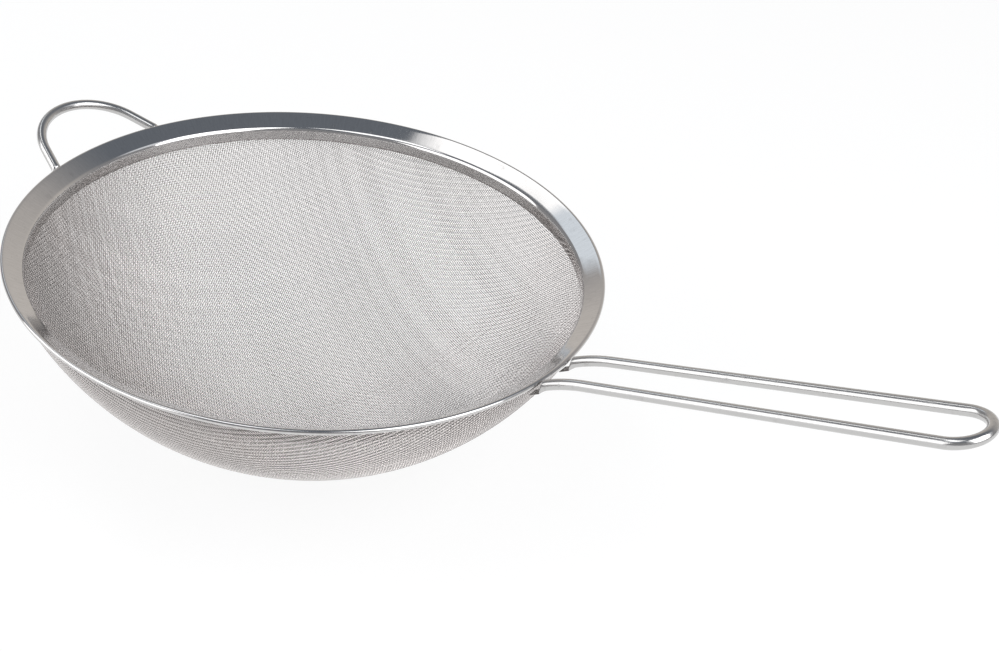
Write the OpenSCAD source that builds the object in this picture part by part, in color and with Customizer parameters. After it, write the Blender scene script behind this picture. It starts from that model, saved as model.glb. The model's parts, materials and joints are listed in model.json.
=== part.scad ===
// Wire sieve: a woven bowl in a flanged sheet rim, with a long loop handle and a small loop
// opposite that rests on the edge of a pan. The origin is the centre of the rim, level with
// its top edge. +X points to the handle and +Z up, out of the bowl. Sizes are in mm.

/* [Rim] */
// outer diameter of the rolled edge
rim_d = 240; // [200:1:260]
// thickness of the rim sheet
sheet = 0.8; // [0.6:0.1:1]
// width of the flange between the wall and the outer edge, seen from above
flange_width = 7.8; // [6.5:0.1:9]
// slope of the flange, rising outward
flange_tilt = 30; // [26:1:34]
// height of the turned-down outer edge
lip_height = 2.9; // [2.4:0.1:3.2]
// distance from the top edge down to the bottom of the inner wall
rim_height = 10; // [9.5:0.1:12]

/* [Bowl] */
// depth of the bowl below the top edge
bowl_depth = 84; // [60:1:95]
// distance between neighbouring wires of the cloth
mesh_pitch = 3; // [3:0.2:6]
// thickness of a wire of the cloth
mesh_wire = 0.58; // [0.4:0.02:0.8]
// thickness of the hem that each set of wires ends in
hem = 0.5; // [0.4:0.1:0.8]

/* [Handle] */
// thickness of the bent wire of the handle and the loop
wire_d = 4.2; // [3.6:0.1:4.4]
// distance between the two wires of the handle beside the rim, centre to centre
handle_gap = 20.2; // [16:0.2:28]
// angle by which each of the two wires spreads towards the far end
handle_spread = 0.5; // [0:0.1:1]
// rise of the straight part above the plane of the rim
handle_rise = 19.3; // [15:0.1:24]
// reach of the handle from the edge of the rim to the far end of its wire
handle_reach = 155.6; // [110:1:200]
// radius of the bow where the wire leaves the rim
bow_r = 70; // [50:1:90]
// angle of that bow
bow_turn = 14; // [10:1:16]

/* [Rest loop] */
// rise of the loop above the plane of the rim
loop_rise = 17.8; // [12:0.1:24]
// radius of the round nose of the loop
nose_r = 25.6; // [18:0.1:30]
// angle between each leg and the middle line of the loop
leg_lean = 18.9; // [10:0.1:24]
// reach of the loop from the edge of the rim to the outside of its wire
loop_reach = 27.8; // [24:0.1:36]
// angle by which the loop stands off the line of the handle
loop_turn = -0.8; // [-3:0.1:3]

/* [Hidden] */
round_fn = 64;
// gap between neighbouring pieces
seat = 0.3;
rim_r = rim_d / 2;
// rolled edge: the middle of the sheet runs round this centre
lip_bend = 0.8;
lip_x = rim_r - sheet / 2 - lip_bend;
lip_z = -sheet / 2 - lip_bend;
// bend between wall and flange
wall_bend = 1.6;
wall_r = rim_r - flange_width;
bend_x = wall_r + sheet / 2 + wall_bend;
// where the middle of the sheet leaves the rolled edge and starts down the flange
leave_x = lip_x - lip_bend * sin(flange_tilt);
leave_z = lip_z + lip_bend * cos(flange_tilt);
// where the flange joins the bend above the wall
join_x = bend_x - wall_bend * sin(flange_tilt);
join_z = leave_z - (leave_x - join_x) * tan(flange_tilt);
bend_z = join_z - wall_bend * cos(flange_tilt);
arc_steps = 12;

// the hems stand one round the other outside the wall, and the clamp ring grips their top edge
hem_top = bend_z - seat / 2;
hem_low = -rim_height - 1;
inner_hem_r = wall_r + sheet + seat;
outer_hem_r = inner_hem_r + hem + seat;
clamp_r = outer_hem_r + hem + seat;
clamp_out = clamp_r + sheet;
clamp_low = hem_top - 1.3;
clamp_top = leave_z - (leave_x - clamp_out) * tan(flange_tilt) - sheet / 2 / cos(flange_tilt) - seat;

// the inner set of wires lies on a ball that meets its hem at this radius and height
edge_r = inner_hem_r + hem / 2;
edge_z = -rim_height - 0.6;
layer_step = mesh_wire + seat;
cap_h = bowl_depth - layer_step - mesh_wire / 2 + edge_z;
ball_r = (edge_r * edge_r + cap_h * cap_h) / (2 * cap_h);
ball_z = edge_z - cap_h + ball_r;
edge_angle = asin(edge_r / ball_r);
pitch_angle = mesh_pitch / ball_r * 180 / PI;
wire_count = 2 * floor(edge_angle / pitch_angle - 0.5) + 1;
first_wire = -(wire_count - 1) / 2;

// straight wire is a hair thinner than the bends and runs this far into them
straight_d = wire_d - 0.06;
lap = 0.4;

// pressed wire ends under the flange
tab_thick = 1.6;
tab_width = 7;
press_length = 2;

// handle: the straight part starts at the top of the bow
bow_x = rim_r + 17;
bow_z = 6.6;
bow_drop = bow_r * (1 - cos(bow_turn));
bow_y = handle_gap / 2 + (bow_x - rim_r) * tan(handle_spread);
end_turn = 90 + handle_spread;
run_plan = (rim_r + handle_reach - wire_d / 2 * cos(handle_rise) - bow_x) / cos(handle_rise);
// radius of the far bend, from the spread of the wires and the length left for it
end_r = (bow_y + run_plan * sin(handle_spread)) / (1 + sin(handle_spread));
run_length = run_plan - end_r;
// the pressed end starts here, at the foot of the bow, and stops beside the clamp ring
handle_drop = 1.4;
tab_slope = handle_rise + bow_turn;
foot_x = bow_x - bow_r * sin(bow_turn) * cos(handle_rise) + bow_drop * sin(handle_rise);
foot_z = bow_z - bow_r * sin(bow_turn) * sin(handle_rise) - bow_drop * cos(handle_rise);
tab_side = handle_gap / 2 - tab_width / 2;
tab_stop = sqrt(pow(clamp_out + seat, 2) - tab_side * tab_side);
tab_top = handle_drop - tab_thick / 2;
handle_tab = (foot_x + tab_top * sin(tab_slope) - tab_stop) / cos(tab_slope);

// loop: u runs outward along its sloping plane from this point
loop_x = wall_r - 0.2;
loop_z = -4.5;
nose_u = (rim_r + loop_reach - wire_d / 2 * cos(loop_rise) - loop_x) / cos(loop_rise) - nose_r;
leg_u = nose_u + nose_r * sin(leg_lean);
leg_v = nose_r * cos(leg_lean);
// each leg is pressed from just outside the rim to just outside the clamp ring
loop_drop = 1.1;
loop_c = cos(loop_rise);
leg_t = tan(leg_lean);
root_v = leg_v + leg_u * leg_t;
press_u = leg_at(rim_r + 1.8);
press_v = root_v - press_u * leg_t;
leg_length = (leg_u - press_u) / cos(leg_lean);
loop_tab = (press_u - leg_at(clamp_out + seat + 0.4)) / cos(leg_lean);

// weld beads in the corner between the clamp ring and the top of the pressed ends
bead_d = 1.4;
bead_length = 6.5;
bead_r = clamp_out + seat + bead_d / 2;
bead_lift = bead_d / 2 + seat;
handle_bead_x = sqrt(bead_r * bead_r - handle_gap * handle_gap / 4);
tab_top_x = foot_x + tab_top * sin(tab_slope);
tab_top_z = foot_z - tab_top * cos(tab_slope);
handle_bead_z = tab_top_z - (tab_top_x - handle_bead_x) * tan(tab_slope) + bead_lift / cos(tab_slope);
loop_bead_u = leg_at(bead_r);
loop_tab_top = loop_drop - tab_thick / 2;
loop_bead_z = loop_z + loop_bead_u * sin(loop_rise) + (bead_lift - loop_tab_top) * loop_c;
bead_angle = bead_length / bead_r * 180 / PI;
handle_at = asin(handle_gap / 2 / bead_r);
loop_at = asin((root_v - loop_bead_u * leg_t) / bead_r);

// where on a leg's middle line, in u, its distance from the bowl's axis is r
function leg_at(r) =
    let (
        a = loop_c * loop_c + leg_t * leg_t,
        b = loop_x * loop_c - root_v * leg_t,
        c = loop_x * loop_x + root_v * root_v - r * r
    )
    (sqrt(b * b - a * c) - b) / a;

// points on an arc round (x, z)
function arc(x, z, r, a, b) = [
    for (i = [0 : arc_steps])
        let (t = a + (b - a) * i / arc_steps)
        [x + r * cos(t), z + r * sin(t)]
];

// one side of the rim's section: s is the distance from the middle of the sheet
function rim_side(s) = concat(
    [[wall_r + sheet / 2 - s, -rim_height]],
    arc(bend_x, bend_z, wall_bend + s, 180, 90 + flange_tilt),
    arc(lip_x, lip_z, lip_bend + s, 90 + flange_tilt, 0),
    [[rim_r - sheet / 2 + s, -lip_height]]
);

function backward(p) = [for (i = [len(p) - 1 : -1 : 0]) p[i]];

// the sheet rim: inner wall, sloping flange and turned-down edge
module rim() {
    color("gainsboro")
        rotate_extrude($fn = 180)
            polygon(concat(rim_side(sheet / 2), backward(rim_side(-sheet / 2))));
}

// a plain band round the Z axis
module band(r, t, low, top) {
    rotate_extrude($fn = 180)
        translate([r, low])
            square([t, top - low]);
}

module clamp_ring() {
    color("silver") band(clamp_r, sheet, clamp_low, clamp_top);
}

// one set of parallel wires on a ball of radius r: each wire is the arc in which a plane through
// the ball's level axis meets it, and all of them end in the hem
module wire_set(r) {
    drop = r * cos(edge_angle);
    for (i = [0 : wire_count - 1]) {
        a = (first_wire + i) * pitch_angle;
        arc_r = r * cos(a);
        half = acos(drop / arc_r);
        translate([0, 0, ball_z])
            rotate([90, 0, 90])
                translate([0, 0, r * sin(a)])
                    rotate_extrude(angle = 2 * half, start = 270 - half, $fn = 96)
                        translate([arc_r, 0])
                            circle(d = mesh_wire, $fn = 6);
    }
}

module warp_wires() {
    color("lightgray") {
        wire_set(ball_r);
        band(inner_hem_r, hem, hem_low, hem_top);
    }
}

module weft_wires() {
    color("darkgray") {
        rotate([0, 0, 90]) wire_set(ball_r + layer_step);
        band(outer_hem_r, hem, hem_low, hem_top);
    }
}

// straight wire along +X from the origin, run into the bends at its ends
module straight_wire(length, before = lap) {
    translate([-before, 0, 0])
        rotate([0, 90, 0])
            cylinder(d = straight_d, h = length + before + lap, $fn = round_fn);
}

// end of a wire that is pressed flat: the wire arrives along +X at the origin
module pressed_end(drop, length) {
    hull() {
        translate([-0.1, 0, 0])
            rotate([0, 90, 0])
                cylinder(d = wire_d - 0.2, h = 0.6, $fn = 48);
        translate([-press_length, -tab_width / 2, -drop - tab_thick / 2])
            cube([0.2, tab_width, tab_thick]);
    }
    translate([-length, -tab_width / 2, -drop - tab_thick / 2])
        cube([length - press_length + 0.1, tab_width, tab_thick]);
}

// one of the two wires of the handle, from its pressed end to the far bend
module handle_wire(side) {
    translate([bow_x, side * bow_y, bow_z])
        rotate([0, 0, side * handle_spread])
            rotate([0, -handle_rise, 0]) {
                straight_wire(run_length);
                translate([0, 0, -bow_r]) {
                    rotate([90, 0, 0])
                        rotate_extrude(angle = bow_turn, start = 90, $fn = 180)
                            translate([bow_r, 0])
                                circle(d = wire_d, $fn = round_fn);
                    rotate([0, -bow_turn, 0])
                        translate([0, 0, bow_r])
                            pressed_end(handle_drop, handle_tab);
                }
            }
}

module handle() {
    color("silver") {
        handle_wire(1);
        handle_wire(-1);
        translate([bow_x, 0, bow_z])
            rotate([0, -handle_rise, 0])
                translate([run_length * cos(handle_spread) + end_r * sin(handle_spread), 0, 0])
                    rotate_extrude(angle = 2 * end_turn, start = -end_turn, $fn = 180)
                        translate([end_r, 0])
                            circle(d = wire_d, $fn = round_fn);
    }
}

module rest_loop() {
    color("silver")
        rotate([0, 0, 180 + loop_turn])
            translate([loop_x, 0, loop_z])
                rotate([0, -loop_rise, 0]) {
                    translate([nose_u, 0, 0])
                        rotate_extrude(angle = 180 - 2 * leg_lean, start = leg_lean - 90, $fn = 180)
                            translate([nose_r, 0])
                                circle(d = wire_d, $fn = round_fn);
                    for (side = [-1, 1])
                        translate([press_u, side * press_v, 0])
                            rotate([0, 0, -side * leg_lean]) {
                                straight_wire(leg_length, 0);
                                pressed_end(loop_drop, loop_tab);
                            }
                }
}

// a weld bead that follows the clamp ring
module bead(at, z) {
    color("gray")
        translate([0, 0, z])
            rotate_extrude(angle = bead_angle, start = at - bead_angle / 2, $fn = 180)
                translate([bead_r, 0])
                    circle(d = bead_d, $fn = 32);
}

module handle_weld_left() {
    bead(handle_at, handle_bead_z);
}

module handle_weld_right() {
    bead(-handle_at, handle_bead_z);
}

module loop_weld_left() {
    bead(180 + loop_turn - loop_at, loop_bead_z);
}

module loop_weld_right() {
    bead(180 + loop_turn + loop_at, loop_bead_z);
}

rim();
clamp_ring();
warp_wires();
weft_wires();
handle();
rest_loop();
handle_weld_left();
handle_weld_right();
loop_weld_left();
loop_weld_right();
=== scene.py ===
"""Looks of the wire sieve: its bright rim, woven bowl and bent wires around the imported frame.

Lengths are in millimetres in the sizes below and in metres in the meshes. The origin is the
centre of the rim, level with its top edge, with +X towards the handle and +Z up.
"""

import json
import math

import bmesh
import bpy
from bpy.props import FloatProperty, FloatVectorProperty, PointerProperty
from mathutils import Matrix, Vector

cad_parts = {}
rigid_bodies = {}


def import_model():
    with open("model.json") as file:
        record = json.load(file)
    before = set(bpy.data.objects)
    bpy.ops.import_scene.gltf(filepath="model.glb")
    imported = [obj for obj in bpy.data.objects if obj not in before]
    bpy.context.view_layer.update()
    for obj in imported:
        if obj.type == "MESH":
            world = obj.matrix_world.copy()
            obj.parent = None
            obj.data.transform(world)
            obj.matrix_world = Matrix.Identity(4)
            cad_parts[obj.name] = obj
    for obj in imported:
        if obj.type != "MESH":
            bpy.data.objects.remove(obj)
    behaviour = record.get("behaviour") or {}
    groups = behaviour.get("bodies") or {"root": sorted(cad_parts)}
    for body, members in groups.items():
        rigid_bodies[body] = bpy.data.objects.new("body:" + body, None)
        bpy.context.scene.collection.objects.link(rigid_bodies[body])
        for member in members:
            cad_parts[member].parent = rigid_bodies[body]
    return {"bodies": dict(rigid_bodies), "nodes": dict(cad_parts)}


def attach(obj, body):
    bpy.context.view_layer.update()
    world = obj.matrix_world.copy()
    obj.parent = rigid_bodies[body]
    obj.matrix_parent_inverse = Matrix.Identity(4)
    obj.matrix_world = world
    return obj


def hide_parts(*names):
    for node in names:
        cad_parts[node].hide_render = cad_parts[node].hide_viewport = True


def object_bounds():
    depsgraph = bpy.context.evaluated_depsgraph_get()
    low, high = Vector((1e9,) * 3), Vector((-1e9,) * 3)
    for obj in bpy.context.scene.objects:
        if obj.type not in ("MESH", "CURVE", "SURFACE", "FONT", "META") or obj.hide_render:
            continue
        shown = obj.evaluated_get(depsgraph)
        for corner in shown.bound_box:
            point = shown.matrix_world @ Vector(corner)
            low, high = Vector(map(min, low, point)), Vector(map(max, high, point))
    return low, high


bl_info = {
    "name": "Wire sieve",
    "version": (1, 0, 0),
    "blender": (4, 5, 0),
    "location": "3D View > Sidebar > Sieve",
    "description": "A woven wire sieve with a flanged rim, a long handle and a rest loop",
    "category": "Object",
}

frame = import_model()
BODY = next(iter(frame["bodies"]))
CAD_BOX = [list(corner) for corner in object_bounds()]
MM = 0.001

# the view that the photo was taken from: its place in metres, its axes and its lens in millimetres
VIEW_PLACE = Vector((0.3434, -0.4226, 0.3346))
VIEW_AHEAD = Vector((-0.4244, 0.7153, -0.5552))
VIEW_RIGHT = Vector((0.8126, 0.5713, 0.1149))
VIEW_LENS = 56.605
VIEW_SENSOR = 36


def size(name, default, description):
    """A length in millimetres."""
    return FloatProperty(name=name, description=description, default=default, min=0.0)


def height(name, default, description):
    """A height above the rim's top edge in millimetres, below zero where it is lower."""
    return FloatProperty(name=name, description=description, default=default)


def share(name, default, description):
    """A part of a whole, from 0 to 1."""
    return FloatProperty(
        name=name, description=description, default=default, min=0.0, max=1.0, subtype="FACTOR"
    )


def angle(name, default, description):
    """An angle, given in degrees."""
    return FloatProperty(
        name=name,
        description=description,
        default=math.radians(default),
        unit="ROTATION",
        subtype="ANGLE",
    )


def colour(name, default, description):
    """A colour, linear."""
    return FloatVectorProperty(
        name=name,
        description=description,
        default=default,
        size=3,
        min=0.0,
        max=1.0,
        subtype="COLOR",
    )


class RimSizes(bpy.types.PropertyGroup):
    """Sizes of the sheet rim and the ring under it."""

    radius: size("Radius", 120, "Outside of the rolled edge")
    sheet: size("Sheet", 0.8, "Thickness of the sheet")
    bead: size("Bead", 0.6, "Radius to the middle of the sheet in the rolled edge")
    bead_turn: angle("Bead turn", 225, "How far the edge is rolled")
    tilt: angle("Tilt", 31.5, "Slope of the flange")
    wall: size("Wall", 111.55, "Radius to the middle of the upright inner wall")
    bend: size("Bend", 2.2, "Radius of the bend between wall and flange")
    depth: size("Depth", 10, "From the top edge to the bottom of the wall")


class RingSizes(bpy.types.PropertyGroup):
    """Sizes of the ring that holds the cloth."""

    sheet: size("Sheet", 0.6, "Thickness of the ring")
    inside: size("Inside", 0.75, "From the cloth's middle inward to the ring's middle")
    low: height("Bottom", -9.4, "Height of the ring's bottom edge")
    high: height("Top", -4.0, "Height of the ring's top edge")


class ClothSizes(bpy.types.PropertyGroup):
    """Sizes of the woven bowl."""

    ball: size("Ball", 125.75, "Radius of the ball that the cloth follows")
    middle: height("Middle", 42.19, "Height of the ball's middle")
    edge: height("Edge", -3.2, "Height at which the cloth ends under the flange")
    pitch: size("Pitch", 0.847, "From crossing to crossing along a wire")
    wire: size("Wire", 0.33, "Thickness of a wire")
    turn: angle("Turn", 108, "Direction halfway between the two sets of wires, from +X")
    crossing: angle("Crossing", 100, "Angle at which the wires cross at the bottom of the bowl")


class PressSizes(bpy.types.PropertyGroup):
    """Sizes of the pressed ends of both bent wires."""

    width: size("Width", 5.6, "Width of a pressed end")
    thick: size("Thickness", 1.6, "Thickness of a pressed end")
    length: size("Length", 2.4, "Over which the wire goes from round to flat")
    squeeze: share("Squeeze", 0.7, "Height that the round wire keeps before it is cut flat")
    tip: size("Tip", 0.3, "Length of the narrower tip")
    taper: share("Taper", 0.12, "How much narrower the tip ends")


class HandleSizes(bpy.types.PropertyGroup):
    """Sizes of the long handle."""

    wire: size("Wire", 4.2, "Thickness of the wire")
    reach: size("Reach", 275.6, "From the bowl's axis to the far end")
    rise: angle("Rise", 19.3, "Slope of the straight part")
    spread: angle("Spread", 0.5, "How far each wire leans outward")
    gap: size("Gap", 20.2, "Between the wires beside the rim, centre to centre")
    bow_x: size("Bow place", 137, "From the bowl's axis to where the straight part meets the bow")
    bow_z: height("Bow height", 6.6, "Height of that place")
    bow: size("Bow", 70, "Radius of the bow")
    bow_turn: angle("Bow turn", 14, "Angle of the bow")
    tab: size("Tab", 7.4, "Length of a pressed end")
    drop: size("Drop", 1.4, "How far a pressed end lies below the wire's middle")


class LoopSizes(bpy.types.PropertyGroup):
    """Sizes of the rest loop."""

    wire: size("Wire", 4.2, "Thickness of the wire")
    reach: size("Reach", 147.8, "From the bowl's axis to the outside of the nose")
    rise: angle("Rise", 17.8, "Slope of the loop")
    nose: size("Nose", 25.6, "Radius of the round nose")
    lean: angle("Lean", 18.9, "Angle between each leg and the loop's middle line")
    turn: angle("Turn", -0.8, "Angle by which the loop stands off the handle's line")
    root_x: size("Root place", 112, "From the bowl's axis to where the loop's plane meets the wall")
    root_z: height("Root height", -4.5, "Height of that place")
    press_r: size("Press radius", 121.8, "From the bowl's axis to where a leg starts to be pressed")
    tab_r: size("Tab radius", 116.4, "From the bowl's axis to where a pressed end stops")
    drop: size("Drop", 1.1, "How far a pressed end lies below the wire's middle")


class Colours(bpy.types.PropertyGroup):
    """Colours of the metals and the floor."""

    rim: colour("Rim", (0.62, 0.61, 0.605), "Bright sheet of the rim")
    # both cloth colours are the same wire: along is painted lighter as a painted highlight, across
    # is painted darker as painted shade
    along: colour("Cloth along", (0.88, 0.86, 0.85), "Wires along the cloth")
    across: colour("Cloth across", (0.38, 0.365, 0.355), "Wires across the cloth")
    wire: colour("Wire", (0.56, 0.555, 0.55), "Bent wires")
    weld: colour("Weld", (0.40, 0.375, 0.36), "Weld beads")
    floor: colour("Floor", (0.9, 0.9, 0.9), "Floor")


class Sock:
    """An output socket that Python's operators work on: each operation adds a Math node."""

    def __init__(self, graph, socket):
        self.graph = graph
        self.socket = socket

    def math(self, operation, first, second=0.0):
        return self.graph.node("ShaderNodeMath", {"operation": operation}, {0: first, 1: second})

    def __add__(self, other):
        return self.math("ADD", self, other)

    def __radd__(self, other):
        return self.math("ADD", other, self)

    def __sub__(self, other):
        return self.math("SUBTRACT", self, other)

    def __rsub__(self, other):
        return self.math("SUBTRACT", other, self)

    def __mul__(self, other):
        return self.math("MULTIPLY", self, other)

    def __rmul__(self, other):
        return self.math("MULTIPLY", other, self)

    def root(self):
        return self.math("SQRT", self)

    def angle_to(self, other):
        return self.math("ARCTAN2", self, other)


class Graph:
    """A node tree that ends in one shader."""

    def __init__(self, tree, shader):
        self.tree = tree
        self.shader = tree.nodes[shader]

    def node(self, kind, settings=None, inputs=None, output=0):
        """Adds a node, its settings first, and returns one of its outputs."""
        made = self.tree.nodes.new(kind)
        for name, value in (settings or {}).items():
            if name == "stops":
                ramp = made.color_ramp.elements
                while len(ramp) < len(value):
                    ramp.new(1.0)
                for element, (place, shade) in zip(ramp, value):
                    element.position = place
                    element.color = (shade, shade, shade, 1.0)
            else:
                setattr(made, name, value)
        for name, value in (inputs or {}).items():
            if isinstance(value, Sock):
                self.tree.links.new(value.socket, made.inputs[name])
            else:
                made.inputs[name].default_value = value
        return Sock(self, made.outputs[output])

    def place(self, coordinates):
        """One kind of texture coordinates as three sockets."""
        spot = self.node("ShaderNodeTexCoord", output=coordinates)
        made = self.node("ShaderNodeSeparateXYZ", inputs={0: spot}).socket.node
        return [Sock(self, made.outputs[i]) for i in range(3)]

    def spot(self, x, y, z):
        """Three sockets or numbers as one place."""
        return self.node("ShaderNodeCombineXYZ", inputs={0: x, 1: y, 2: z})

    def noise(self, where, scale, detail=2.0):
        """Noise from 0 to 1 at a place."""
        return self.node(
            "ShaderNodeTexNoise", inputs={"Vector": where, "Scale": scale, "Detail": detail}
        )

    def ramp(self, value, *stops):
        """Turns a value into a grey through stops of (place, shade)."""
        return self.node("ShaderNodeValToRGB", {"stops": stops}, {0: value})

    def mix(self, factor, first, second):
        """Mixes two colours."""
        return self.node(
            "ShaderNodeMix", {"data_type": "RGBA"}, {0: factor, 6: first, 7: second}, output=2
        )

    def feed(self, name, value):
        """Links a value to one of the shader's sockets."""
        self.tree.links.new(value.socket, self.shader.inputs[name])


class Finish(Graph):
    """A material on a Principled shader, with constants for its sockets."""

    def __init__(self, name, **constants):
        self.material = bpy.data.materials.new(name)
        self.material.use_nodes = True
        super().__init__(self.material.node_tree, "Principled BSDF")
        for socket, value in constants.items():
            self.shader.inputs[socket.replace("_", " ")].default_value = value

    def bump(self, relief, strength, distance):
        """Gives the surface a relief, its depth in metres."""
        made = self.node(
            "ShaderNodeBump", inputs={"Strength": strength, "Distance": distance, "Height": relief}
        )
        self.feed("Normal", made)


def tone(shade, by=1.0):
    """A colour property as four numbers, made lighter or darker."""
    return [min(1.0, part * by) for part in shade] + [1.0]


def sheet_finish(shade):
    """Bright sheet with short marks across the flange, fine scratches and a few dull spots."""
    steel = Finish("sheet_finish", Metallic=1.0)
    x, y, z = steel.place("Object")
    where = steel.spot(x, y, z)
    out = (x * x + y * y).root()
    turn = y.angle_to(x)
    streaks = steel.noise(steel.spot(turn * 190.0, out * 260.0, z * 260.0), 1.0, 3.0)
    cloudy = steel.noise(where, 30.0, 3.0)
    scratch = steel.ramp(
        steel.noise(steel.spot(turn * 40.0 + out * 500.0, out * 1400.0, z * 1400.0), 1.0, 2.0),
        (0.64, 0.0),
        (0.70, 1.0),
    )
    wear = steel.ramp(steel.noise(where, 170.0, 4.0), (0.60, 0.0), (0.72, 1.0))
    bright = steel.mix(streaks, tone(shade, 0.88), tone(shade, 1.08))
    steel.feed("Base Color", steel.mix(wear * 0.25 + scratch * 0.15, bright, tone(shade, 0.6)))
    steel.feed("Roughness", 0.03 + streaks * 0.05 + cloudy * 0.03 + wear * 0.07)
    steel.bump(streaks * 0.5 + cloudy * 1.5, 0.1, 0.00006)
    return steel.material


def drawn_wire(name, shade):
    """Drawn wire of the cloth, a little warmer in places, dull where it has been scrubbed."""
    steel = Finish(name, Metallic=1.0)
    x, y, z = steel.place("Object")
    where = steel.spot(x, y, z)
    cloudy = steel.noise(where, 22.0, 3.0)
    grain = steel.noise(where, 900.0, 2.0)
    warm = steel.mix(cloudy, tone(shade, 0.92), [shade[0] * 1.06, shade[1] * 1.01, shade[2], 1.0])
    steel.feed("Base Color", steel.mix(grain * 0.4, warm, tone(shade, 0.7)))
    steel.feed("Roughness", 0.12 + cloudy * 0.06 + grain * 0.08)
    return steel.material


def along_finish(shade):
    """The cloth's wires in a lighter copy of the same steel, a painted highlight."""
    return drawn_wire("along_finish", shade)


def across_finish(shade):
    """The wires that run the other way, in a darker copy of the same steel as painted shade, which
    makes the cloth's ribs show.
    """
    return drawn_wire("across_finish", shade)


def wire_finish(shade):
    """Polished wire with faint marks along it."""
    steel = Finish("wire_finish", Metallic=1.0)
    x, y, z = steel.place("Object")
    where = steel.spot(x, y, z)
    along = steel.noise(steel.spot(x * 60.0, y * 900.0, z * 900.0), 1.0, 2.0)
    cloudy = steel.noise(where, 45.0, 3.0)
    wear = steel.ramp(steel.noise(where, 240.0, 4.0), (0.58, 0.0), (0.72, 1.0))
    bright = steel.mix(cloudy, tone(shade, 0.93), tone(shade, 1.07))
    steel.feed("Base Color", steel.mix(wear * 0.3, bright, tone(shade, 0.7)))
    steel.feed("Roughness", 0.12 + cloudy * 0.1 + along * 0.06 + wear * 0.12)
    steel.bump(along, 0.12, 0.00004)
    return steel.material


def weld_finish(shade):
    """Spot weld: a duller, lumpy, heat-toned steel."""
    steel = Finish("weld_finish", Metallic=1.0)
    x, y, z = steel.place("Object")
    where = steel.spot(x, y, z)
    lumps = steel.noise(where, 500.0, 3.0)
    toned = steel.mix(lumps, tone(shade, 0.8), [shade[0] * 1.2, shade[1] * 1.08, shade[2], 1.0])
    steel.feed("Base Color", toned)
    steel.feed("Roughness", 0.35 + lumps * 0.25)
    steel.bump(lumps, 0.5, 0.0004)
    return steel.material


def finish_material(kind, part):
    """The material of one finish in the colour of a part, made once."""
    made = bpy.data.materials.get(kind.__name__)
    return made or kind(getattr(bpy.context.scene.sieve_colours, part))


def add_piece(bm, name, finish, smooth=True):
    """Turns a bmesh, in millimetres, into an object of the scene."""
    bmesh.ops.transform(bm, matrix=Matrix.Scale(MM, 4), verts=bm.verts)
    mesh = bpy.data.meshes.new(name)
    for face in bm.faces:
        face.smooth = smooth
    bm.to_mesh(mesh)
    bm.free()
    piece = bpy.data.objects.new(name, mesh)
    bpy.context.scene.collection.objects.link(piece)
    mesh.materials.append(finish)
    return piece


def hold(piece, slot, *nodes):
    """Ties a piece to the frame."""
    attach(piece, BODY)
    if nodes:
        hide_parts(*nodes)


def extend(bm, section, step):
    """Extrudes the open end of a section line by a step and returns the new end."""
    made = bmesh.ops.extrude_vert_indiv(bm, verts=section)
    ends = made["verts"]
    bmesh.ops.translate(bm, vec=step, verts=ends)
    return ends


def roll(bm, section, middle, turn, steps):
    """Spins the open end of a section line in the XZ plane and returns the new end."""
    made = bmesh.ops.spin(
        bm,
        geom=section,
        cent=middle,
        axis=(0, 1, 0),
        dvec=(0, 0, 0),
        angle=turn,
        space=Matrix(),
        steps=steps,
        use_merge=False,
        use_normal_flip=False,
        use_duplicate=False,
    )
    return [part for part in made["geom_last"] if isinstance(part, bmesh.types.BMVert)]


def turn_round(bm, steps):
    """Spins the whole section line once round the Z axis."""
    bmesh.ops.spin(
        bm,
        geom=bm.verts[:] + bm.edges[:],
        cent=(0, 0, 0),
        axis=(0, 0, 1),
        dvec=(0, 0, 0),
        angle=math.tau,
        space=Matrix(),
        steps=steps,
        use_merge=True,
        use_normal_flip=False,
        use_duplicate=False,
    )
    bmesh.ops.remove_doubles(bm, verts=bm.verts, dist=0.0005)
    bmesh.ops.recalc_face_normals(bm, faces=bm.faces)


def give_thickness(piece, thickness):
    """Makes a sheet solid, half its thickness to each side."""
    solid = piece.modifiers.new("thickness", "SOLIDIFY")
    solid.thickness = thickness * MM
    solid.offset = 0.0
    solid.use_even_offset = True


class SIEVE_OT_rim(bpy.types.Operator):
    """Make the flanged sheet rim with its rolled edge"""

    bl_idname = "sieve.rim"
    bl_label = "Rim"

    def execute(self, context):
        sizes = context.scene.sieve_rim
        bead_x = sizes.radius - sizes.sheet / 2 - sizes.bead
        bead_z = -sizes.sheet / 2 - sizes.bead
        # the middle of the sheet leaves the wall's bend here and meets the rolled edge there
        bend_x = sizes.wall + sizes.bend
        join_x = bend_x - sizes.bend * math.sin(sizes.tilt)
        meet_x = bead_x - sizes.bead * math.sin(sizes.tilt)
        meet_z = bead_z + sizes.bead * math.cos(sizes.tilt)
        run = meet_x - join_x
        join_z = meet_z - run * math.tan(sizes.tilt)
        bend_z = join_z - sizes.bend * math.cos(sizes.tilt)

        bm = bmesh.new()
        end = [bm.verts.new((sizes.wall, 0, -sizes.depth))]
        rows = 6
        for _ in range(rows):
            end = extend(bm, end, (0, 0, (bend_z + sizes.depth) / rows))
        end = roll(bm, end, (bend_x, 0, bend_z), math.pi / 2 - sizes.tilt, steps=12)
        for _ in range(rows):
            end = extend(bm, end, (run / rows, 0, (meet_z - join_z) / rows))
        roll(bm, end, (bead_x, 0, bead_z), sizes.bead_turn, steps=24)
        turn_round(bm, steps=360)
        piece = add_piece(bm, "rim_sheet", finish_material(sheet_finish, "rim"))
        give_thickness(piece, sizes.sheet)
        hold(piece, "rim_steel", "rim")
        return {"FINISHED"}


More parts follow.
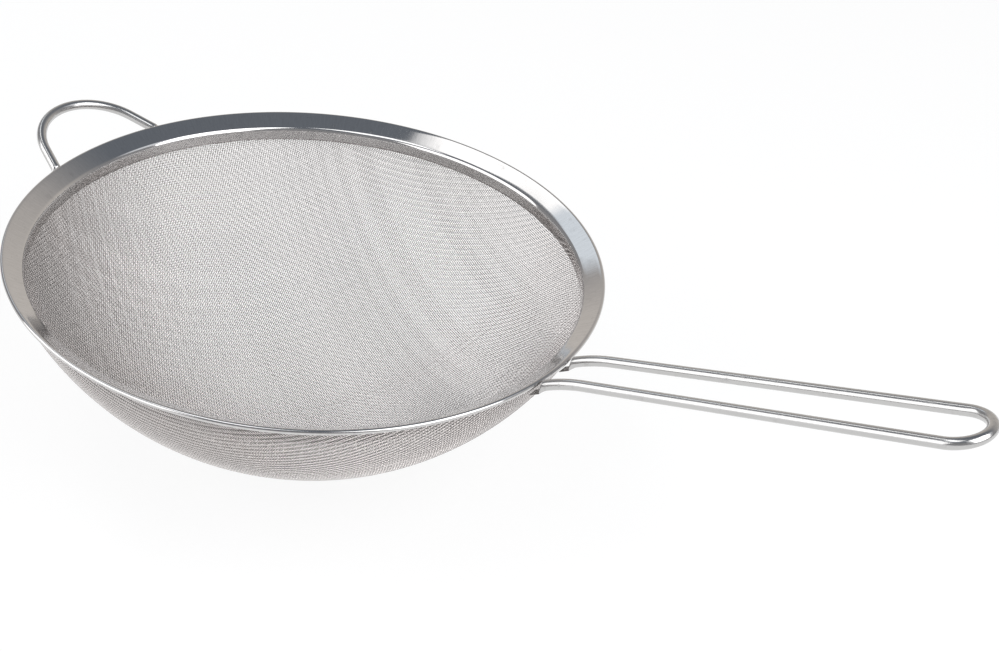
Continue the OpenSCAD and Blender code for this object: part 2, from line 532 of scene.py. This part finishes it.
class SIEVE_OT_clamp_ring(bpy.types.Operator):
    """Make the ring that holds the cloth against the wall"""

    bl_idname = "sieve.clamp_ring"
    bl_label = "Clamp ring"

    def execute(self, context):
        cloth = context.scene.sieve_cloth
        sizes = context.scene.sieve_ring
        rows = 8
        rise = (sizes.high - sizes.low) / rows
        bm = bmesh.new()
        end = [bm.verts.new((cloth_radius(cloth, sizes.low) - sizes.inside, 0, sizes.low))]
        for i in range(rows):
            before = sizes.low + rise * i
            out = cloth_radius(cloth, before + rise) - cloth_radius(cloth, before)
            end = extend(bm, end, (out, 0, rise))
        turn_round(bm, steps=240)
        piece = add_piece(bm, "holding_ring", finish_material(sheet_finish, "rim"))
        give_thickness(piece, sizes.sheet)
        hold(piece, "rim_steel", "clamp_ring")
        return {"FINISHED"}


def cloth_radius(cloth, z):
    """Distance of the cloth's middle from the axis at a height."""
    return math.sqrt(cloth.ball**2 - (cloth.middle - z) ** 2)


def weave_net(cloth):
    """Crossings of a cloth drawn over a ball of radius 1, out from the ball's pole.

    Both middle wires lie straight over the ball. Every other crossing closes a little rhombus
    whose sides keep the pitch, so it is the corner opposite turned half round their middle.
    Crossing (-i, -j) is crossing (i, j) turned half round the pole.
    """
    step = cloth.pitch / cloth.ball
    rows = int(math.pi / 2 / step)
    first = cloth.turn - cloth.crossing / 2
    second = cloth.turn + cloth.crossing / 2

    def on_axis(direction, i):
        """Crossing i along a middle wire that leaves the pole in this direction."""
        level, down = math.sin(i * step), math.cos(i * step)
        return Vector((level * math.cos(direction), level * math.sin(direction), -down))

    net = {}
    for side in (1, -1):
        for i in range(rows):
            net[i, 0] = on_axis(first, i)
            net[0, i * side] = on_axis(second, i * side)
        for i in range(1, rows):
            for j in range(side, rows * side, side):
                beside, below = net.get((i - 1, j)), net.get((i, j - side))
                opposite = net.get((i - 1, j - side))
                if None in (beside, below, opposite):
                    continue
                middle = (beside + below).normalized()
                spot = 2 * middle.dot(opposite) * middle - opposite
                if spot.z < 0:
                    net[i, j] = spot
    for (i, j), spot in list(net.items()):
        net[-i, -j] = Vector((-spot.x, -spot.y, spot.z))
    return net


def cloth_wire(net, line, places, swap, cloth):
    """Points of one woven wire from edge to edge, in millimetres.

    It passes over two wires and under the next two, one crossing further along than the wire
    beside it, so that slanting ribs show. With swap it belongs to the other set of wires.
    """
    limit = (cloth.edge - cloth.middle) / cloth.ball
    points = []
    for j in places:
        spot = net.get((j, line) if swap else (line, j))
        if spot is None or spot.z > limit:
            continue
        over = (line + j) % 4 < 2
        lift = cloth.wire / 2 if over == swap else -cloth.wire / 2
        points.append(spot * (cloth.ball + lift) + Vector((0, 0, cloth.middle)))
    return points


class SIEVE_OT_cloth(bpy.types.Operator):
    """Weave the bowl from two sets of thin wires that pass over and under one another"""

    bl_idname = "sieve.cloth"
    bl_label = "Cloth"

    def execute(self, context):
        cloth = context.scene.sieve_cloth
        net = weave_net(cloth)
        # the two sets get lit and shaded copies of one steel: a painted highlight on one set,
        # painted shade on the other
        sets = (
            ("cloth_along", "weft_wires", True, finish_material(along_finish, "along")),
            ("cloth_across", "warp_wires", False, finish_material(across_finish, "across")),
        )
        furthest = max(i for i, _ in net)
        places = range(-furthest, furthest)
        parts = 6
        for set_name, node, swap, finish in sets:
            paths = [cloth_wire(net, line, places, swap, cloth) for line in places]
            paths = [path for path in paths if len(path) > 2]
            for part in range(parts):
                curve = bpy.data.curves.new(f"{set_name}_{part + 1}", "CURVE")
                curve.dimensions = "3D"
                curve.bevel_depth = cloth.wire / 2 * MM
                curve.bevel_resolution = 0
                curve.use_fill_caps = True
                first = part * len(paths) // parts
                after = (part + 1) * len(paths) // parts
                for path in paths[first:after]:
                    spline = curve.splines.new("POLY")
                    spline.points.add(len(path) - 1)
                    spline.points.foreach_set(
                        "co", [number for point in path for number in (*(point * MM), 1.0)]
                    )
                    spline.use_smooth = True
                piece = bpy.data.objects.new(curve.name, curve)
                context.scene.collection.objects.link(piece)
                curve.materials.append(finish)
                hold(piece, "mesh_steel", *([node] if part == 0 else []))
        return {"FINISHED"}


def sweep(bm, ring, middle, axis, turn, steps):
    """Spins a ring of edges and returns the new ring's vertices and edges."""
    made = bmesh.ops.spin(
        bm,
        geom=ring,
        cent=middle,
        axis=axis,
        dvec=(0, 0, 0),
        angle=turn,
        space=Matrix(),
        steps=steps,
        use_merge=False,
        use_normal_flip=False,
        use_duplicate=False,
    )
    return made["geom_last"]


def draw_on(bm, ring, step):
    """Extrudes a ring of edges by a step and returns the new ring."""
    edges = [part for part in ring if isinstance(part, bmesh.types.BMEdge)]
    made = bmesh.ops.extrude_edge_only(bm, edges=edges)["geom"]
    verts = [part for part in made if isinstance(part, bmesh.types.BMVert)]
    bmesh.ops.translate(bm, vec=step, verts=verts)
    inside = set(verts)
    edges = [
        part
        for part in made
        if isinstance(part, bmesh.types.BMEdge) and all(v in inside for v in part.verts)
    ]
    return verts + edges


def ring_verts(ring):
    """The vertices of a ring."""
    return [part for part in ring if isinstance(part, bmesh.types.BMVert)]


def flatten(ring, middle, along, up, part, press, drop):
    """Presses a ring part of the way from round to the flat section of a pressed end."""
    side = up.cross(along).normalized()
    half = press.thick / 2
    for vert in ring_verts(ring):
        away = vert.co - middle
        across, above = away.dot(side), away.dot(up)
        flat_above = max(-half, min(half, above * press.squeeze)) - drop
        radius = max(1e-6, math.hypot(across, above))
        flat_across = math.copysign(press.width / 2, across) * min(1.0, abs(across) / radius)
        new_across = across + (flat_across - across) * part
        new_above = above + (flat_above - above) * part
        vert.co = middle + along * away.dot(along) + side * new_across + up * new_above


def pressed_part(done):
    """How far the wire is pressed at this part of the press, eased at both ends."""
    return (1 - math.cos(math.pi * done)) / 2


def bent_wire(name, sizes, nose_place, nose, turn, leg, tab, place, bow=0.0, bow_turn=0.0):
    """A wire bent round a nose in the XY plane, with two legs towards -X and pressed ends.

    Half of it is swept from the top of the nose, mirrored, and put in place.
    """
    press = bpy.context.scene.sieve_press
    bm = bmesh.new()
    made = bmesh.ops.create_circle(
        bm,
        cap_ends=False,
        radius=sizes.wire / 2,
        segments=24,
        matrix=Matrix.Translation((nose_place + nose, 0, 0)) @ Matrix.Rotation(math.pi / 2, 4, "X"),
    )
    ring = made["verts"] + list({edge for vert in made["verts"] for edge in vert.link_edges})
    ring = sweep(bm, ring, (nose_place, 0, 0), (0, 0, 1), turn, steps=40)
    along = Vector((-math.sin(turn), math.cos(turn), 0))
    middle = Vector((nose_place + nose * math.cos(turn), nose * math.sin(turn), 0))
    rows = 6
    for _ in range(rows):
        ring = draw_on(bm, ring, along * leg / rows)
        middle = middle + along * leg / rows
    up = Vector((0, 0, 1))
    if bow_turn:
        axis = up.cross(along)
        centre = middle - up * bow
        ring = sweep(bm, ring, centre, axis, bow_turn, steps=12)
        spin = Matrix.Rotation(bow_turn, 3, axis)
        middle = centre + spin @ (middle - centre)
        along, up = spin @ along, spin @ up
    for i in range(rows):
        ring = draw_on(bm, ring, along * press.length / rows)
        middle = middle + along * press.length / rows
        before = pressed_part(i / rows)
        part = (pressed_part((i + 1) / rows) - before) / (1 - before)
        flatten(ring, middle, along, up, part, press, sizes.drop)
    for length in (tab - press.length - press.tip, press.tip):
        ring = draw_on(bm, ring, along * length)
    for vert in ring_verts(ring):
        away = vert.co - middle - along * (tab - press.length) + up * sizes.drop
        across = away - along * away.dot(along)
        vert.co -= across * press.taper
    bmesh.ops.holes_fill(
        bm, edges=[part for part in ring if isinstance(part, bmesh.types.BMEdge)], sides=0
    )
    everything = bm.verts[:] + bm.edges[:] + bm.faces[:]
    bmesh.ops.mirror(bm, geom=everything, matrix=Matrix(), merge_dist=0.001, axis="Y")
    bmesh.ops.remove_doubles(bm, verts=bm.verts, dist=0.001)
    bmesh.ops.recalc_face_normals(bm, faces=bm.faces)
    bmesh.ops.transform(bm, matrix=place, verts=bm.verts)
    return add_piece(bm, name, finish_material(wire_finish, "wire"))


class SIEVE_OT_handle(bpy.types.Operator):
    """Bend the long handle from one wire"""

    bl_idname = "sieve.handle"
    bl_label = "Handle"

    def execute(self, context):
        sizes = context.scene.sieve_handle
        rim = context.scene.sieve_rim
        start_y = sizes.gap / 2 + (sizes.bow_x - rim.radius) * math.tan(sizes.spread)
        end_x = sizes.reach - sizes.wire / 2 * math.cos(sizes.rise)
        run = (end_x - sizes.bow_x) / math.cos(sizes.rise)
        nose = (start_y + run * math.sin(sizes.spread)) / (1 + math.sin(sizes.spread))
        leg = run - nose
        bow_start = Matrix.Translation((sizes.bow_x, 0, sizes.bow_z))
        piece = bent_wire(
            "handle_wire",
            sizes,
            nose_place=leg * math.cos(sizes.spread) + nose * math.sin(sizes.spread),
            nose=nose,
            turn=math.pi / 2 + sizes.spread,
            leg=leg,
            tab=sizes.tab,
            place=bow_start @ Matrix.Rotation(-sizes.rise, 4, "Y"),
            bow=sizes.bow,
            bow_turn=sizes.bow_turn,
        )
        hold(piece, "wire_steel", "handle")
        return {"FINISHED"}


class SIEVE_OT_rest_loop(bpy.types.Operator):
    """Bend the small loop that rests on the edge of a pan"""

    bl_idname = "sieve.rest_loop"
    bl_label = "Rest loop"

    def execute(self, context):
        sizes = context.scene.sieve_loop
        end_x = sizes.reach - sizes.wire / 2 * math.cos(sizes.rise)
        nose_u = (end_x - sizes.root_x) / math.cos(sizes.rise) - sizes.nose
        leg_u = nose_u + sizes.nose * math.sin(sizes.lean)
        leg_v = sizes.nose * math.cos(sizes.lean)
        root_v = leg_v + leg_u * math.tan(sizes.lean)
        press_u = leg_place(sizes, root_v, sizes.press_r)
        tab_u = leg_place(sizes, root_v, sizes.tab_r)
        root = Matrix.Translation((sizes.root_x, 0, sizes.root_z))
        slope = Matrix.Rotation(-sizes.rise, 4, "Y")
        piece = bent_wire(
            "rest_loop_wire",
            sizes,
            nose_place=nose_u,
            nose=sizes.nose,
            turn=math.pi / 2 - sizes.lean,
            leg=(leg_u - press_u) / math.cos(sizes.lean),
            tab=(press_u - tab_u) / math.cos(sizes.lean),
            place=Matrix.Rotation(math.pi + sizes.turn, 4, "Z") @ root @ slope,
        )
        hold(piece, "wire_steel", "rest_loop")
        return {"FINISHED"}


def leg_place(sizes, root_v, radius):
    """Where on a leg of the loop its distance from the bowl's axis is this radius."""
    slope = math.tan(sizes.lean)
    level = math.cos(sizes.rise)
    a = level**2 + slope**2
    b = sizes.root_x * level - root_v * slope
    c = sizes.root_x**2 + root_v**2 - radius**2
    return (math.sqrt(b * b - a * c) - b) / a


class SIEVE_OT_welds(bpy.types.Operator):
    """Give the weld beads their finish"""

    bl_idname = "sieve.welds"
    bl_label = "Welds"

    def execute(self, context):
        finish = finish_material(weld_finish, "weld")
        for name, node in frame["nodes"].items():
            if "weld" in name:
                for slot in node.material_slots:
                    slot.material = finish
        return {"FINISHED"}


def towards(azimuth, elevation):
    """A direction of length 1, given in degrees."""
    around, up = math.radians(azimuth), math.radians(elevation)
    return Vector((math.cos(up) * math.cos(around), math.cos(up) * math.sin(around), math.sin(up)))


def add_softbox(name, azimuth, elevation, width, tall, radiance):
    """A soft rectangular lamp, in metres, that faces the sieve from a direction in degrees."""
    away = 1.5
    lamp = bpy.data.lights.new(name, "AREA")
    lamp.shape = "RECTANGLE"
    lamp.size = width
    lamp.size_y = tall
    lamp.energy = radiance * math.pi * width * tall
    holder = bpy.data.objects.new(name, lamp)
    bpy.context.scene.collection.objects.link(holder)
    side = towards(azimuth, elevation)
    holder.location = side * away
    holder.rotation_euler = (-side).to_track_quat("-Z", "Y").to_euler()
    return holder


def floor_paint(shade):
    """Pale floor that the camera and the metal see nearly white, with a faint shadow left."""
    white = 1.06
    share_of_white = 0.8
    floor = Finish("floor_paint", Roughness=0.9, Base_Color=tone(shade))
    path = floor.node("ShaderNodeLightPath").socket.node
    seen = Sock(floor, path.outputs["Is Camera Ray"])
    for ray in ("Is Glossy Ray", "Is Transmission Ray"):
        seen = seen + Sock(floor, path.outputs[ray])
    glow = floor.node("ShaderNodeEmission", inputs={"Color": (1, 1, 1, 1), "Strength": white})
    paint = Sock(floor, floor.shader.outputs[0])
    mixed = {0: seen * share_of_white, 1: paint, 2: glow}
    shown = floor.node("ShaderNodeMixShader", inputs=mixed)
    ends = floor.tree.nodes["Material Output"]
    floor.tree.links.new(shown.socket, ends.inputs["Surface"])
    return floor.material


def studio_world():
    """A dim room with a warm pale wall, a soft glow and a slanting strip of light above it."""
    wall_colour = [0.70, 0.66, 0.62, 1.0]
    dim_below, dim_above = [0.33, 0.33, 0.34, 1.0], [0.18, 0.20, 0.23, 1.0]
    glow_colour = [0.92, 0.95, 1.0, 1.0]
    strip_below, strip_above = [0.98, 1.06, 1.14, 1.0], [1.8, 1.8, 1.8, 1.0]
    wall_side, glow_side, strip_side = towards(106, 0), towards(30, 47), towards(168, 46)
    across_strip = towards(200, 64).cross(towards(158, 24)).normalized()

    world = bpy.data.worlds.new("studio")
    world.use_nodes = True
    room = Graph(world.node_tree, "Background")
    look = room.place("Generated")

    def facing(direction):
        """How nearly the look goes this way, 1 at most."""
        return sum(part * number for part, number in zip(look, direction))

    wall = room.ramp(facing(wall_side), (0.5, 0.0), (0.78, 1.0))
    low = room.ramp(look[2], (0.0, 1.0), (0.3, 0.9), (0.5, 0.7), (0.68, 0.3), (0.8, 0.0))
    high = room.ramp(look[2], (0.5, 0.0), (0.8, 1.0))
    shown = room.mix(wall * low, room.mix(high, dim_below, dim_above), wall_colour)
    glow = room.ramp(facing(glow_side), (0.955, 0.0), (0.985, 1.0))
    shown = room.mix(glow, shown, glow_colour)

    edges = (0.365, 0.0), (0.38, 1.0), (0.535, 1.0), (0.54, 0.0)
    strip = room.ramp(facing(across_strip) + 0.5, *edges)
    strip *= room.ramp(facing(strip_side), (0.82, 0.0), (0.90, 1.0))
    strip *= room.ramp(look[2], (0.36, 0.0), (0.45, 1.0))
    white = room.ramp(look[2], (0.64, 0.0), (0.68, 1.0))
    room.feed("Color", room.mix(strip, shown, room.mix(white, strip_below, strip_above)))
    return world


class SIEVE_OT_stage(bpy.types.Operator):
    """Set out the floor, the lamps and the camera"""

    bl_idname = "sieve.stage"
    bl_label = "Stage"

    def execute(self, context):
        scene = context.scene
        bm = bmesh.new()
        floor_half = 6000
        lowest = CAD_BOX[0][2] / MM
        bmesh.ops.create_grid(bm, x_segments=1, y_segments=1, size=floor_half)
        bmesh.ops.translate(bm, vec=(0, 0, lowest), verts=bm.verts)
        piece = add_piece(bm, "floor", floor_paint(scene.sieve_colours.floor), smooth=False)

        scene.world = studio_world()
        boxes = (
            ("left_softbox", 234, 22, 1.9, 1.2, 1.75),
            ("right_softbox", 0, 38, 1.15, 1.5, 2.7),
            ("top_softbox", 258, 70, 0.8, 0.6, 1.9),
        )
        for name, azimuth, elevation, width, tall, radiance in boxes:
            add_softbox(name, azimuth, elevation, width, tall, radiance)

        camera = bpy.data.cameras.new("view")
        camera.lens = VIEW_LENS
        camera.sensor_width = VIEW_SENSOR
        camera.clip_start = 0.01
        camera.clip_end = 20
        holder = bpy.data.objects.new("view", camera)
        scene.collection.objects.link(holder)
        ahead = VIEW_AHEAD.normalized()
        right = (VIEW_RIGHT - ahead * VIEW_RIGHT.dot(ahead)).normalized()
        up = right.cross(ahead)
        turn = Matrix((right, up, -ahead)).transposed()
        holder.matrix_world = Matrix.Translation(VIEW_PLACE) @ turn.to_4x4()
        scene.camera = holder
        scene.view_settings.view_transform = "Standard"
        return {"FINISHED"}


class SIEVE_PT_panel(bpy.types.Panel):
    """Sizes, colours and steps of the sieve"""

    bl_idname = "SIEVE_PT_panel"
    bl_label = "Wire sieve"
    bl_space_type = "VIEW_3D"
    bl_region_type = "UI"
    bl_category = "Sieve"

    def draw(self, context):
        for group in GROUPS:
            box = self.layout.box()
            sizes = getattr(context.scene, group)
            for name in sizes.bl_rna.properties.keys():
                if name not in ("rna_type", "name"):
                    box.prop(sizes, name)
        for step in STEPS:
            self.layout.operator(step.bl_idname)


STEPS = (
    SIEVE_OT_rim,
    SIEVE_OT_clamp_ring,
    SIEVE_OT_cloth,
    SIEVE_OT_handle,
    SIEVE_OT_rest_loop,
    SIEVE_OT_welds,
    SIEVE_OT_stage,
)
GROUPS = {
    "sieve_rim": RimSizes,
    "sieve_ring": RingSizes,
    "sieve_cloth": ClothSizes,
    "sieve_press": PressSizes,
    "sieve_handle": HandleSizes,
    "sieve_loop": LoopSizes,
    "sieve_colours": Colours,
}


def register():
    for group in GROUPS.values():
        bpy.utils.register_class(group)
    for name, group in GROUPS.items():
        setattr(bpy.types.Scene, name, PointerProperty(type=group))
    for step in STEPS:
        bpy.utils.register_class(step)
    bpy.utils.register_class(SIEVE_PT_panel)


def unregister():
    bpy.utils.unregister_class(SIEVE_PT_panel)
    for step in reversed(STEPS):
        bpy.utils.unregister_class(step)
    for name, group in GROUPS.items():
        delattr(bpy.types.Scene, name)
        bpy.utils.unregister_class(group)


def main():
    register()
    bpy.ops.sieve.rim()
    bpy.ops.sieve.clamp_ring()
    bpy.ops.sieve.cloth()
    bpy.ops.sieve.handle()
    bpy.ops.sieve.rest_loop()
    bpy.ops.sieve.welds()
    bpy.ops.sieve.stage()


if __name__ == "__main__":
    main()
